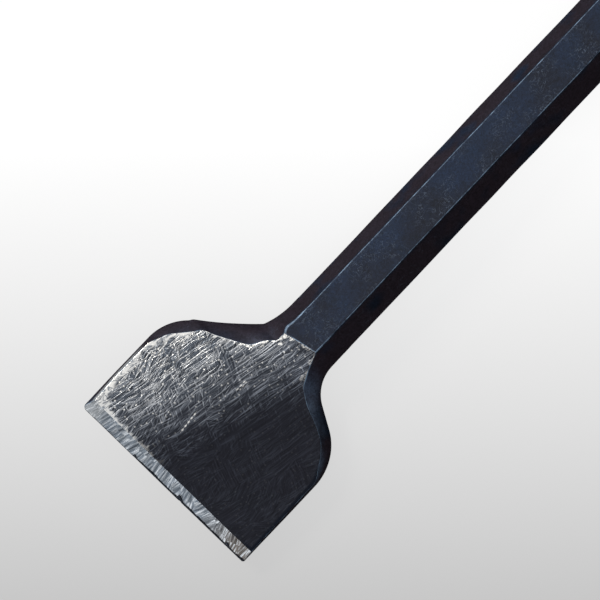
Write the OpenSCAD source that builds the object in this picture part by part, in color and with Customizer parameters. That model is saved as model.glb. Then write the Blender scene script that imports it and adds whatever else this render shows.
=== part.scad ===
// Tile removal chisel: a one-piece bit for a rotary hammer.
// The tool lies along X, with the middle of its struck end at the origin and its cutting edge at the far end.
// The flats of the hexagonal bar face up and down, and the blade is rolled a little about the bar's axis.

/* [Overall] */
// Length of the whole tool, from the struck end to the cutting edge
tool_l = 250; // [200:5:400]

/* [Round shank] */
// Diameter of the round shank that the hammer's chuck holds
shank_d = 10; // [9:0.25:11.5]
// Length of the round shank, from the struck end to the bar's turned shoulder
shank_l = 54; // [48:1:70]
// Size of the rounded chamfer at the struck end
struck_chamfer = 1; // [0.4:0.1:1.6]
// Radius of the turned shoulder between the shank and the bar, about a point on the axis
turned_r = 10; // [9:0.25:14]

/* [Locking grooves] */
// Diameter of the locking ball that sits in each closed groove
ball_d = 7; // [6:0.25:8]
// Depth of the closed grooves
lock_depth = 1.7; // [1:0.1:2.2]
// Distance from the struck end to the near end of the closed grooves
lock_start = 8; // [6:0.5:12]
// Length of the closed grooves
lock_l = 18.5; // [12:0.5:24]

/* [Driving slots] */
// Width of the open driving slots
slot_w = 3.4; // [2:0.2:4.4]
// Depth of the open driving slots
slot_depth = 2.2; // [1:0.1:2.8]
// Length of the open slots at full depth, from the struck end
slot_l = 27; // [20:1:34]
// Radius of the sweep with which the open slots rise to the surface
slot_sweep_r = 16; // [8:1:24]

/* [Hexagonal bar] */
// Width of the bar across its flats
bar_af = 14; // [12.5:0.5:16]

/* [Left side of the blade] */
// Distance from the bar's axis to the left side
left_reach = 26.2; // [20:0.1:30]
// Distance from the cutting edge to where the bar's left corner starts to spread
left_spread_l = 49.5; // [47:0.5:56]
// Radius of the hollow with which it spreads
left_hollow_r = 21; // [12:0.5:26]
// Angle that the left hollow turns through, in degrees
left_hollow_turn = 22.5; // [15:0.5:30]
// Sag of the hammered flare between the left hollow and the left shoulder
left_sag = 0.6; // [0:0.1:1]
// Radius of the left shoulder
left_shoulder_r = 12; // [8:0.2:14]
// Angle that the left shoulder turns through, in degrees
left_shoulder_turn = 52; // [40:1:60]
// Length of the straight left side, its corner included
left_side_l = 21.7; // [18:0.1:25]
// Radius of the corner at the left end of the cutting edge
left_corner_r = 1.1; // [0.2:0.1:2]
// Slope of the left wall along the flare, in degrees from upright
left_flare_slope = 50; // [30:1:52]
// Length over which the left wall takes up that slope, from where the bar's corner starts to spread
left_ease_l = 13; // [8:0.5:15]
// Slope of the left wall along the straight side, in degrees from upright
left_side_slope = 26; // [0:1:35]

/* [Right side of the blade] */
// Distance from the bar's axis to the right side
right_reach = 23.6; // [18:0.1:28]
// Distance from the cutting edge to where the bar's right corner starts to spread
right_spread_l = 45; // [43:0.5:52]
// Radius of the hollow with which it spreads
right_hollow_r = 9; // [5:0.5:12]
// Angle that the right hollow turns through, in degrees
right_hollow_turn = 59; // [40:1:62]
// Sag of the hammered flare between the right hollow and the right shoulder
right_sag = 0.1; // [0:0.1:0.5]
// Radius of the right shoulder
right_shoulder_r = 13.3; // [8:0.1:14]
// Angle that the right shoulder turns through, in degrees
right_shoulder_turn = 59; // [40:1:62]
// Length of the straight right side, its corner included
right_side_l = 23; // [18:0.1:24]
// Radius of the corner at the right end of the cutting edge
right_corner_r = 0.6; // [0.2:0.1:2]
// Slope of the right wall along the flare, in degrees from upright
right_flare_slope = 47; // [30:1:50]
// Length over which the right wall takes up that slope, from where the bar's corner starts to spread
right_ease_l = 9.5; // [5:0.5:12]
// Slope of the right wall along the straight side, in degrees from upright
right_side_slope = 18; // [0:1:30]

/* [Forging] */
// Roll of the blade about the bar's axis, in degrees
blade_roll = 8; // [0:0.5:12]
// Length over which the forging takes up the roll
roll_l = 8; // [5:0.5:12]
// Length round each shoulder over which the flare's wall turns into the straight side's
wall_blend_l = 5; // [3:0.5:10]
// Roundness of the walls' outer edge
wall_round = 0.6; // [0.1:0.1:1.5]

/* [Ground faces and cutting edge] */
// Distance from the cutting edge to where the ground faces run out on the bar
face_l = 44.2; // [40:0.2:60]
// Radius of the run-out of the ground faces
run_out_r = 20; // [12:1:30]
// Taper of each ground face, in degrees from the blade's middle plane
face_taper = 3.2; // [1:0.2:5]
// Thickness of the blade where the bevels start
bevel_t = 3; // [2:0.1:5]
// Length of the bevels
bevel_l = 3.3; // [2:0.1:6]
// Thickness of the cutting edge itself
edge_t = 0.2; // [0.1:0.05:0.5]

/* [Hidden] */
// Half of the bar across its flats and across its corners
bar_half = bar_af / 2;
bar_corner = bar_half / cos(30);
bar_slope = 30;
shank_r = shank_d / 2;
ball_r = ball_d / 2;
// The turned surface is closed by a seam, which this angle keeps clear of the grooves and slots
seam_angle = 37.5;
// How far the cutters reach past what they cut
past = 1;

// What the outline is worked out from, the same for each side of the blade
left = [left_reach, tool_l - left_spread_l, left_hollow_r, left_hollow_turn, left_sag,
    left_shoulder_r, left_shoulder_turn, tool_l - left_side_l, left_corner_r,
    left_flare_slope, left_ease_l, left_side_slope];
right = [right_reach, tool_l - right_spread_l, right_hollow_r, right_hollow_turn, right_sag,
    right_shoulder_r, right_shoulder_turn, tool_l - right_side_l, right_corner_r,
    right_flare_slope, right_ease_l, right_side_slope];
// Where the forged part starts
neck_x = min(spread_x(left), spread_x(right));

// The ground face in side view: a straight taper from the bevel line, then the arc of the run-out.
// The arc dips under the taper line by face_dip, so that the two cross cleanly.
bevel_x = tool_l - bevel_l;
face_dip = 0.015;
run_out_dx = bevel_x - (tool_l - face_l);
run_out_dz = bar_half - bevel_t / 2;
run_out_rise = run_out_dz * cos(face_taper) - run_out_dx * sin(face_taper);
arc_height = run_out_r - face_dip;
arc_back = run_out_dx * cos(face_taper) + run_out_dz * sin(face_taper)
    - sqrt(pow(run_out_r, 2) - pow(arc_height - run_out_rise, 2));
arc_x = bevel_x - arc_back * cos(face_taper) + arc_height * sin(face_taper);
arc_z = bevel_t / 2 + arc_back * sin(face_taper) + arc_height * cos(face_taper);
run_out_end_x = arc_x - run_out_r * sin(face_taper);
bevel_slope = (bevel_t - edge_t) / 2 / bevel_l;
cutter_top = bar_corner + past;
// Step between the sections of the forged part
section_step = 0.8;
// Where the forging starts to take up the blade's roll: a section past the end of the slanted line along
// which the ground faces cut the bar's flats away, so that the flats stay level
flat_low = bar_half * (cos(blade_roll) - tan(30) * sin(blade_roll));
flat_end_x = arc_x - sqrt(pow(run_out_r, 2) - pow(arc_z - flat_low, 2));
roll_start_x = flat_end_x + section_step;

// Places of the sections: close together round the flare and the corners, far apart along the straight sides
straight_x = max(side_x(left), side_x(right));
corner_l = max(corner_r(left), corner_r(right));
section_count = ceil((straight_x - neck_x) / section_step);
corner_steps = 4;
section_xs = concat(
    [for (i = [0 : section_count]) neck_x + (straight_x - neck_x) * i / section_count],
    [for (i = [0 : corner_steps]) tool_l - corner_l * (1 - sin(90 * i / corner_steps))]
);
// Heights of the points on a section's walls, as shares of its half height, from top to bottom
wall_shares = [1, 0.7, 0.45, 0.2, 0, -0.2, -0.45, -0.7, -1];
// Height of the blank above the ground face that is cut from it
blank_spare = 1.5;

// How far an arc of radius r has left its tangent after running s along it
function arc_drop(r, s) = r - sqrt(max(0, r * r - s * s));

// A smooth step from 0 to 1
function smooth(t) = let (c = min(1, max(0, t))) c * c * (3 - 2 * c);

// The value a share t of the way from a to b
function mix(a, b, t) = a + (b - a) * t;

// The entries of a side's list
function reach(side) = side[0];
function spread_x(side) = side[1];
function hollow_r(side) = side[2];
function hollow_turn(side) = side[3];
function sag(side) = side[4];
function shoulder_r(side) = side[5];
function shoulder_turn(side) = side[6];
function side_x(side) = side[7];
function corner_r(side) = side[8];
function flare_slope(side) = side[9];
function ease_l(side) = side[10];
function side_slope(side) = side[11];

// The two ends of the flare as places along the tool and distances from the axis: on the hollow's arc, which
// leaves the bar's corner, and on the shoulder's arc, which meets the straight side
function flare_start(side) = [
    spread_x(side) + hollow_r(side) * sin(hollow_turn(side)),
    bar_corner + hollow_r(side) * (1 - cos(hollow_turn(side)))
];
function flare_end(side) = [
    side_x(side) - shoulder_r(side) * sin(shoulder_turn(side)),
    reach(side) - shoulder_r(side) * (1 - cos(shoulder_turn(side)))
];

// Distance from the axis to the blade's outline: bar, hollow, sagging flare, shoulder, straight side, corner
function outline(x, side) =
    let (a = flare_start(side), b = flare_end(side), t = (x - a.x) / (b.x - a.x))
    x < a.x ? bar_corner + arc_drop(hollow_r(side), max(0, x - spread_x(side)))
    : x < b.x ? mix(a.y, b.y, t) - 4 * sag(side) * t * (1 - t)
    : x < side_x(side) ? reach(side) - arc_drop(shoulder_r(side), side_x(side) - x)
    : reach(side) - arc_drop(corner_r(side), max(0, x - tool_l + corner_r(side)));

// Angle between the axis and the flare, the shoulder or the straight side
function lean(x, side) =
    let (a = flare_start(side), b = flare_end(side))
    x < b.x ? atan2(b.y - a.y, b.x - a.x)
    : x < side_x(side) ? asin((side_x(side) - x) / shoulder_r(side))
    : 0;

// Share that the wall has taken up of its flare's slope
function eased(x, side) = smooth((x - spread_x(side)) / ease_l(side));

// Slope of the wall from upright: the hexagon's, then the flare's, then the straight side's
function wall_slope(x, side) =
    mix(
        mix(bar_slope, flare_slope(side), eased(x, side)),
        side_slope(side),
        smooth((x - side_x(side)) / wall_blend_l + 1)
    );

// How far the wall lies inside the outline at height z: a straight slope with a round outer edge
function wall_inset(x, z, side) =
    let (share = eased(x, side), round = wall_round * share)
    tan(wall_slope(x, side)) / cos(lean(x, side) * share) * (sqrt(z * z + round * round) - round);

// Half thickness of the blade between its ground faces
function face_height(x) =
    x < run_out_end_x
        ? arc_z - sqrt(max(0, pow(run_out_r, 2) - pow(x - arc_x, 2)))
        : bevel_t / 2 + (bevel_x - x) * tan(face_taper);

// Half height of the blank that the ground faces are cut from
function blank_height(x) =
    x < neck_x + section_step ? bar_half : min(bar_half, face_height(x) + blank_spare);

// A point of the section, turned about the axis by the share of the roll that it has there
function turned(x, y, z) =
    let (a = -blade_roll * smooth((x - roll_start_x) / roll_l))
    [x, y * cos(a) - z * sin(a), y * sin(a) + z * cos(a)];

// One section as a ring of points: down the right wall, then up the left wall
function section(x) =
    let (h = blank_height(x))
    concat(
        [for (t = wall_shares) turned(x, outline(x, right) - wall_inset(x, h * t, right), h * t)],
        [for (t = wall_shares) turned(x, wall_inset(x, -h * t, left) - outline(x, left), -h * t)]
    );

// The forged part, before its faces are ground: sections joined by triangles
module forged_blank() {
    ring = 2 * len(wall_shares);
    rings = len(section_xs);
    last = (rings - 1) * ring;
    polyhedron(
        points = [for (x = section_xs) each section(x)],
        faces = concat(
            [[for (i = [ring - 1 : -1 : 0]) i]],
            [[for (i = [0 : ring - 1]) last + i]],
            [for (k = [0 : rings - 2], i = [0 : ring - 1])
                let (a = k * ring + i, b = k * ring + (i + 1) % ring)
                each [[a, b, b + ring], [a, b + ring, a + ring]]]
        )
    );
}

// Half of the turned outline, with the distance from the axis across and the distance along it upward.
// Both rounded places are arcs about points on the axis.
module turned_profile() {
    end_r = norm([shank_r - struck_chamfer, shank_r]);
    shoulder_x = shank_l + sqrt(pow(turned_r, 2) - pow(shank_r, 2));
    difference() {
        intersection() {
            union() {
                square([shank_r, shoulder_x]);
                translate([0, shoulder_x]) circle(r = turned_r, $fn = 120);
                translate([0, shoulder_x]) square([bar_corner + past / 2, neck_x - shoulder_x]);
            }
            square([2 * turned_r, neck_x]);
        }
        difference() {
            square([2 * shank_r, shank_r]);
            translate([0, shank_r]) circle(r = end_r, $fn = 120);
        }
    }
}

// The round shank, the turned shoulder and the hexagonal bar, turned from hexagonal stock
module turned_bar() {
    intersection() {
        rotate([0, 90, 0]) rotate([0, 0, seam_angle]) rotate_extrude($fn = 96) turned_profile();
        rotate([0, 90, 0]) linear_extrude(neck_x) rotate(30) circle(r = bar_corner, $fn = 6);
    }
}

// What a locking groove takes out: a ball's width along the shank, with rounded ends
module locking_groove() {
    end_steps = 4;
    translate([lock_start, 0, shank_r - lock_depth + ball_r]) rotate([0, 90, 0]) rotate_extrude($fn = 64)
        polygon(concat(
            [for (i = [0 : end_steps])
                let (a = 90 * i / end_steps)
                [ball_r * sin(a), ball_r * (1 - cos(a))]],
            [for (i = [end_steps : -1 : 0])
                let (a = 90 * i / end_steps)
                [ball_r * sin(a), lock_l - ball_r * (1 - cos(a))]]
        ));
}

// What a driving slot takes out: open at the struck end, with a floor that sweeps up to the surface
module driving_slot() {
    floor_y = shank_r - slot_depth;
    sweep_angle = acos(max(0, 1 - (slot_depth + past) / slot_sweep_r));
    sweep_steps = 6;
    translate([0, 0, -slot_w / 2]) linear_extrude(slot_w)
        polygon(concat(
            [[-past, shank_r + past], [-past, floor_y]],
            [for (i = [0 : sweep_steps])
                let (a = sweep_angle * i / sweep_steps)
                [slot_l + slot_sweep_r * sin(a), floor_y + slot_sweep_r * (1 - cos(a))]]
        ));
}

// What grinding takes off above the blade: the run-out, the tapered face and the bevel
module face_cut() {
    rotate([90, 0, 0]) linear_extrude(2 * (left_reach + right_reach), center = true) {
        translate([arc_x, arc_z]) circle(r = run_out_r, $fn = 180);
        polygon([
            [run_out_end_x, face_height(run_out_end_x)],
            [bevel_x, bevel_t / 2],
            [tool_l + past, edge_t / 2 - bevel_slope * past],
            [tool_l + past, cutter_top],
            [run_out_end_x, cutter_top]
        ]);
    }
}

module chisel_body() {
    color("#434b55") difference() {
        union() {
            turned_bar();
            forged_blank();
        }
        for (side = [0, 180]) {
            rotate([side, 0, 0]) locking_groove();
            rotate([side, 0, 0]) driving_slot();
            rotate([side - blade_roll, 0, 0]) face_cut();
        }
    }
}

chisel_body();
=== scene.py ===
"""Tile removal chisel: the looks of a one-piece bit for a rotary hammer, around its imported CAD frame.

The tool lies along X, its struck end at the origin and its cutting edge at the far end, and rests on a flat of its
hexagonal bar. Its shapes are worked out in millimetres and go into the meshes in metres.
"""

import math
from functools import partial
from types import SimpleNamespace

import bpy
import numpy as np
from bpy.props import FloatProperty, FloatVectorProperty, PointerProperty
from mathutils import Matrix, Vector


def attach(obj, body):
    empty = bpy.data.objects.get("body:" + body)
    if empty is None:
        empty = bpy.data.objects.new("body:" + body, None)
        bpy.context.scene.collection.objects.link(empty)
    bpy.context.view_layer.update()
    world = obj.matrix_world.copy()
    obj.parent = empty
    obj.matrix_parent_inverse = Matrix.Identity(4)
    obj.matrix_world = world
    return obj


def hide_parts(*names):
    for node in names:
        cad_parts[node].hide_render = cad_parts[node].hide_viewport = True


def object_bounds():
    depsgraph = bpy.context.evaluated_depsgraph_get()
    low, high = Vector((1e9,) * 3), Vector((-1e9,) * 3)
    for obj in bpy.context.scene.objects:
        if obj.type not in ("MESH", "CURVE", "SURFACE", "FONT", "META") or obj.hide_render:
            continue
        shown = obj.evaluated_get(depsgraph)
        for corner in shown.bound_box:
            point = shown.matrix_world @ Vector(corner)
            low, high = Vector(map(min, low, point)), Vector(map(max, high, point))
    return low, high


bl_info = {
    "name": "Tile removal chisel",
    "version": (1, 0, 0),
    "blender": (4, 5, 0),
    "location": "3D View > Sidebar > Chisel",
    "description": "Forges, grinds and lays out a tile removal chisel for a rotary hammer",
    "category": "Object",
}

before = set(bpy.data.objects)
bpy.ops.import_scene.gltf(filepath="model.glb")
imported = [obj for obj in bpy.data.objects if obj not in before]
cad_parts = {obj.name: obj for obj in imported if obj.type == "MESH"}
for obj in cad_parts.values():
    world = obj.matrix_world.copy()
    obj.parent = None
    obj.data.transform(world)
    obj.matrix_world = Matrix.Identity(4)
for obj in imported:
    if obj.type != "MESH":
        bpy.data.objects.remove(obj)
CAD_BOX = [list(corner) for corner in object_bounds()]

MM = 0.001
# Object coordinates to millimetres, a distance past any on the tool, and one that counts as clear of its edges
IN_MM = (1000, 1000, 1000)
FAR, CLEAR = 100.0, 3
# The finishes' places among the materials
SCALE, GROUND, BEVEL = 0, 1, 2
# How far the corners are rounded where surfaces cross: the bevel, the neck line, the hexagon, turned forms, grooves
SOFT_BEVEL, SOFT_NECK, SOFT_CORNER, SOFT_TURNED, SOFT_GROOVE = 0.03, 0.06, 0.16, 0.1, 0.05
# How far the run-out's arc dips under the ground face's line, and how far the shoulder blends into the flare
RUN_OUT_DIP, SHOULDER_BLEND = 0.015, 1.2
# Points of half a ring round the blade: across its face, up each wall, and round each worn edge
FACE_COUNT, WALL_COUNT, CORNER_COUNT = 150, 14, 4
# Steps in which a wall's height is found
WALL_STEPS = 14
# Unevenness of the forging along, across and upright: share, wavelength, kind
FORGED_WAVES = ((1.0, 17, 1), (1.0, 13, 2), (0.6, 15, 3))
# Where the forging's unevenness and the bevel's skew start along the tool, and the lengths over which they grow
FORGED_FROM, FORGED_OVER, SKEW_FROM, SKEW_OVER = 58, 12, 236, 11
# How deep blows dished and dented the struck end, and how far the largest chips draw the cutting edge back
DISH, DENTS, DRAWN_BACK = 0.05, 0.015, 0.15
# The bar's rings end and the blade's start this far before and after this place
JOIN_X, JOIN_GAP = 199.0, 0.4
# Turns sharper than this stay crisp in the shading
CRISP_TURN = math.radians(42)
# Places of the rings on both sides of a line where the form turns sharply
TURN_ROWS = np.array([-0.2, -0.1, -0.04, 0.02, 0.08, 0.16, 0.3])
# Slopes of the forged walls from upright, in degrees, at these distances along the tool
LEFT_WALL = ((200, 30), (205, 31), (208, 41), (210, 41), (214.6, 56.5), (219, 45), (222, 51), (226, 43), (230, 24),
             (238, 27), (250, 48))
RIGHT_WALL = ((200, 30), (205, 30), (212, 46), (216, 51), (220, 45), (222.5, 42), (227, 18), (250, 18))
# Broken steel at the cutting edge lies this far below the bevel
CHIP_DEPTH = 0.2
# Chips in the cutting edge: place across the blade, half width, height, and drift of the chip's tip
EDGE_CHIPS = (
    (4.0, 1.25, 1.5, -0.75), (18.6, 1.0, 1.25, -0.55), (-10.0, 0.9, 0.75, -0.6), (-18.0, 0.28, 0.6, 0.2),
    (9.2, 0.9, 0.65, 0.6), (-3.6, 0.8, 0.6, -0.4), (14.9, 0.8, 0.6, 0.3), (21.8, 0.6, 0.7, 0.5),
    (-22.6, 0.3, 0.35, 0.0),
)
# Single deep scratches on the ground face: middle along and across the blade, lean, half length, brightness
SCRATCHES = ((235.8, -6.7, -0.094, 3.1, 0.6), (221.9, -3.85, -0.02, 1.7, 0.45), (221.6, -3.4, -0.05, 1.3, 0.4))
# Strokes of the grit on the ground face: lean, length, width, place in the pattern, share of its cells left empty
STROKES = ((0.17, 7.0, 0.32, 3.0, 0.66), (0.33, 5.0, 0.32, 11.0, 0.68), (-0.1, 4.0, 0.32, 17.0, 0.72),
           (-1.1, 2.4, 0.34, 29.0, 0.74))
# The floor, in metres: half its width, its level just under the bar's flat, and where its grey starts and ends to
# fade, up the view from the middle
FLOOR_HALF, FLOOR_LEVEL, FLOOR_FADE = 3.0, CAD_BOX[0][2] - 0.05 * MM, (-0.067, 0.035)
# How much of the light the floor swallows, and how strongly it glows to make up for that, as a lit backdrop does
FLOOR_SHADE, FLOOR_GLOW = 0.93, 0.95
# Where the overhead light comes from, and its tint
DOME_AIM, DOME_TINT = (0.05, -0.42, 0.9), "#fafbff"
# The view's turn, its middle along the tool, across the blade and out of it, and how near and far the camera sees
VIEW_TURN, VIEW_MIDDLE, CAMERA_CLIP = math.radians(46.6), (0.19906, -0.00735, 0.002), (0.1, 20)
# Soft lamps: name, place from the middle of the view (right, up, back), size, power, colour
LIGHTS = (
    ("left_strip", (-0.6, 0.4, 0.5), 0.25, 5.0, "#fffaf2"),
    ("bevel_fill", (-0.35, -0.75, 0.6), 0.6, 3.0, "#fdfdff"),
)


def linear(hex_colour):
    """The linear red, green and blue of an sRGB hex colour."""
    parts = [int(hex_colour[i:i + 2], 16) / 255 for i in (1, 3, 5)]
    return tuple(c / 12.92 if c <= 0.04045 else ((c + 0.055) / 1.055) ** 2.4 for c in parts)


def length(name, description, default_mm):
    """A length's property, its default in millimetres."""
    return FloatProperty(name=name, description=description, default=default_mm * MM, unit="LENGTH", precision=5)


def angle(name, description, default_deg):
    """An angle's property, its default in degrees."""
    return FloatProperty(name=name, description=description, default=math.radians(default_deg), unit="ROTATION")


def colour(name, description, hex_colour):
    """A colour's property, its default in sRGB hex."""
    return FloatVectorProperty(name=name, description=description, default=linear(hex_colour), size=3,
                               subtype="COLOR", min=0, max=1)


class ChiselSizes(bpy.types.PropertyGroup):
    """Sizes of the chisel, those of the part's source and those of the wear that only the looks have."""
    tool_l: length("Tool length", "From the struck end to the cutting edge", 250)
    shank_d: length("Shank diameter", "Round shank that the hammer's chuck holds", 10)
    shank_l: length("Shank length", "From the struck end to the bar's turned shoulder", 54)
    struck_chamfer: length("Struck end chamfer", "Rounded chamfer at the struck end", 1)
    turned_r: length("Turned shoulder", "Radius of the turned shoulder, about a point on the axis", 10)
    ball_d: length("Locking ball", "Diameter of the ball that sits in each closed groove", 7)
    lock_depth: length("Groove depth", "Depth of the closed grooves", 1.7)
    lock_start: length("Groove start", "From the struck end to the closed grooves", 8)
    lock_l: length("Groove length", "Length of the closed grooves", 18.5)
    slot_w: length("Slot width", "Width of the open driving slots", 3.4)
    slot_depth: length("Slot depth", "Depth of the open driving slots", 2.2)
    slot_l: length("Slot length", "Length at full depth, from the struck end", 27)
    slot_sweep_r: length("Slot sweep", "Radius with which the slots rise to the surface", 16)
    slot_draft: angle("Slot draft", "Lean of the slots' walls", 2)
    bar_af: length("Bar across flats", "Width of the hexagonal bar", 14)
    blade_roll: angle("Blade roll", "Turn of the blade about the bar's axis", 8)
    roll_start: length("Roll start", "Where the forged part takes up the roll", 207.5)
    roll_l: length("Roll length", "Length over which it takes up the roll", 8)
    wall_round: length("Wall roundness", "Roundness of the forged walls' outer edge", 0.6)
    face_l: length("Face length", "From the cutting edge to the ground faces' run-out", 44.2)
    run_out_r: length("Run-out radius", "Radius of the grinding wheel's run-out", 20)
    face_taper: angle("Face taper", "Taper of each ground face", 3.2)
    bevel_t: length("Bevel thickness", "Thickness of the blade where the bevels start", 3)
    bevel_l: length("Bevel length", "Length of the bevels", 3.3)
    edge_t: length("Edge thickness", "Thickness of the cutting edge", 0.2)
    worn_r: length("Edge wear", "Roundness that handling gave the edges", 0.16)
    forged_wander: length("Forging unevenness", "How far the forged surfaces wander", 0.05)
    ground_wander: length("Grinding unevenness", "How far the hand-ground faces wander", 0.03)
    ridge: length("Grinding ridges", "Height of the coarse ridges that the wheel left", 0.012)
    edge_skew: angle("Edge skew", "How far the hand-ground cutting edge is out of square", 0.75)
    bevel_drift: length("Bevel drift", "How far grinding moved the bevels' start towards the edge", 0.28)


# Sizes of the blade's two sides: kind, name, description, and the left and the right value
SIDE_SIZES = {
    "reach": (length, "reach", "From the axis to the blade's {} side", 26.2, 23.62),
    "start": (length, "start", "Where the bar's {} corner starts to spread", 200.5, 205),
    "neck_r": (length, "hollow", "Radius of the hollow that spreads the {} corner", 21, 9),
    "flare_x": (length, "flare start", "Where the {} flare leaves the hollow", 208.5, 212.7),
    "flare": (angle, "flare", "Angle of the {} flare from the axis", 50.3, 59),
    "sag": (length, "sag", "Hollow of the {} flare", 0.62, 0),
    "shoulder_x": (length, "shoulder start", "Where the {} flare turns into the shoulder", 218.9, 215.55),
    "shoulder_r": (length, "shoulder", "Radius of the blade's {} shoulder", 12, 13.3),
    "shoulder_end": (length, "shoulder end", "Where the {} shoulder meets the straight side", 228.3, 226.95),
    "corner_r": (length, "corner", "Rounding at the {} end of the cutting edge", 1.1, 0.6),
}
ChiselSizes.__annotations__.update({
    f"{side}_{part}": kind(f"{side} {label}".capitalize(), description.format(side), value)
    for part, (kind, label, description, *values) in SIDE_SIZES.items()
    for side, value in zip(("left", "right"), values)
})


def smooth(t):
    """A smooth step from 0 to 1: three squares less two cubes."""
    c = np.clip(t, 0, 1)
    return c * c * (3 - 2 * c)


def soft_min(a, b, reach):
    """The lesser of a and b, with the corner where they cross rounded over reach by a quadratic."""
    h = np.clip(0.5 + 0.5 * (b - a) / reach, 0, 1)
    return b + (a - b) * h - reach * h * (1 - h)


def arc_drop(r, s):
    """How far an arc of radius r has left its tangent after running s along it."""
    return r - np.sqrt(np.maximum(0, r * r - s * s))


def eased(x, table):
    """Values between those of the table, each step eased in and out."""
    places, values = np.array(table, float).T
    i = np.clip(np.searchsorted(places, x) - 1, 0, len(places) - 2)
    return values[i] + (values[i + 1] - values[i]) * smooth((x - places[i]) / (places[i + 1] - places[i]))


def wander(x, y, z, wavelength, kind):
    """A height between about -1 and 1 that wanders smoothly: the mean of nine sine waves in scattered directions."""
    k = np.arange(1, 10)
    turn, lift = 2.4 * k + kind, np.sin(1.7 * k + 0.9 * kind)
    flat = np.sqrt(1 - lift ** 2)
    ways = np.stack([flat * np.cos(turn), flat * np.sin(turn), lift]) * (0.55 + 0.1 * k) * 2 * np.pi / wavelength
    return np.sin(np.stack(np.broadcast_arrays(x, y, z), -1) @ ways + 1.3 * k * kind).mean(-1) * 2


def in_mm(sizes):
    """The sizes as plain numbers, lengths in millimetres and angles in radians, with what follows from them."""
    size = SimpleNamespace()
    for name, prop in sizes.bl_rna.properties.items():
        if prop.type == "FLOAT":
            setattr(size, name, getattr(sizes, name) / (MM if prop.unit == "LENGTH" else 1))
    return derived(size)


def derived(size):
    """Adds what follows from the sizes: the hexagon, the arc of the run-out, and the two sides of the blade."""
    size.bar_half = size.bar_af / 2
    size.bar_corner = size.bar_half / math.cos(math.pi / 6)
    size.flat_half = size.bar_corner / 2
    size.shank_r, size.ball_r = size.shank_d / 2, size.ball_d / 2
    size.bevel_x = size.tool_l - size.bevel_l
    size.bevel_slope = (size.bevel_t - size.edge_t) / 2 / size.bevel_l
    # The run-out is an arc that meets the tapered face, dipping under its line by a hair
    sin, cos = math.sin(size.face_taper), math.cos(size.face_taper)
    dx, dz = size.bevel_x - (size.tool_l - size.face_l), size.bar_half - size.bevel_t / 2
    high = size.run_out_r - RUN_OUT_DIP
    back = dx * cos + dz * sin - math.sqrt(size.run_out_r ** 2 - (high - dz * cos + dx * sin) ** 2)
    size.arc_x = size.bevel_x - back * cos + high * sin
    size.arc_z = size.bevel_t / 2 + back * sin + high * cos
    size.run_out_end = size.arc_x - size.run_out_r * sin
    size.neck_line = neck_line(size, 0.0)
    size.left = blade_side(size, "left", -1, LEFT_WALL)
    size.right = blade_side(size, "right", 1, RIGHT_WALL)
    return size


def blade_side(size, name, sign, walls):
    """One side of the blade, with how wide it is where its flare starts and how far the flare runs."""
    side = SimpleNamespace(sign=sign, walls=walls)
    for part in SIDE_SIZES:
        setattr(side, part, getattr(size, f"{name}_{part}"))
    side.flare_w = size.bar_corner + arc_drop(side.neck_r, side.flare_x - side.start)
    side.flare_run = side.shoulder_x - side.flare_x
    return side


def outline(size, side, x):
    """Distance from the axis to the blade's side: an arc that hollows out of the bar's corner, a straight flare less
    a parabola's sag, an arc round the shoulder, and the straight side."""
    hollow = size.bar_corner + arc_drop(side.neck_r, np.clip(x - side.start, 0, side.neck_r))
    run = x - side.flare_x
    part = np.clip(run / side.flare_run, 0, 1)
    flare = side.flare_w + run * math.tan(side.flare) - 4 * side.sag * part * (1 - part)
    shoulder = side.reach - arc_drop(side.shoulder_r, np.clip(side.shoulder_end - x, 0, side.shoulder_r))
    turned = smooth((x - side.shoulder_x) / SHOULDER_BLEND + 0.5)
    return np.where(x < side.flare_x, hollow, flare + (shoulder - flare) * turned)


def wall_y(size, side, x, z):
    """Sideways place of a forged wall at height z: the outline less a straight slope with a round outer edge, the
    slope taken square to the outline, less the rounding at the end of the cutting edge."""
    step = 0.8
    lean = np.arctan((outline(size, side, x + step) - outline(size, side, x - step)) / (2 * step))
    slope = np.tan(np.radians(eased(x, side.walls))) / np.cos(lean)
    spread = smooth((x - side.start) / (side.flare_x - side.start))
    r = size.worn_r + (size.wall_round - size.worn_r) * spread
    corner = arc_drop(side.corner_r, np.clip(x - size.tool_l + side.corner_r, 0, side.corner_r))
    return side.sign * (outline(size, side, x) - corner - slope * (np.sqrt(z * z + r * r) - r))


def ground_height(size, x):
    """Half thickness of the blade between its ground faces: the run-out's arc, the taper, then the bevel."""
    arc = size.arc_z - np.sqrt(np.maximum(0, size.run_out_r ** 2 - (x - size.arc_x) ** 2))
    taper = size.bevel_t / 2 + (size.bevel_x - x) * math.tan(size.face_taper)
    face = np.where(x < size.run_out_end, arc, taper)
    bevel = size.edge_t / 2 + (size.tool_l - x) * size.bevel_slope
    return soft_min(face, bevel, SOFT_BEVEL)


def neck_line(size, y):
    """Where along the tool the ground face meets the bar's flat, at y across it: the arc's place at that height."""
    high = size.bar_half * math.cos(size.blade_roll) + y * math.sin(size.blade_roll)
    return size.arc_x - np.sqrt(size.run_out_r ** 2 - (size.arc_z - high) ** 2)


def roll_left(size, x):
    """The part of the blade's roll that the forging has not yet taken up."""
    return size.blade_roll * (1 - smooth((x - size.roll_start) / size.roll_l))


def upper(size, x, y):
    """Height of the upper surface: the lower of the bar's flat and the ground face, which is tilted by the roll."""
    tilt = roll_left(size, x)
    ground = (ground_height(size, x) - np.sin(tilt) * y) / np.cos(tilt)
    return soft_min(size.bar_half, ground, SOFT_NECK)


def wall_top(size, side, up, x):
    """Height at which a wall meets the upper surface, or the lower one where up is -1: each step puts the height at
    the last step's place into the surface."""
    z = np.minimum(size.bar_half, ground_height(size, x))
    for _ in range(WALL_STEPS):
        z = upper(size, x, up * wall_y(size, side, x, z))
    return z


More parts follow.
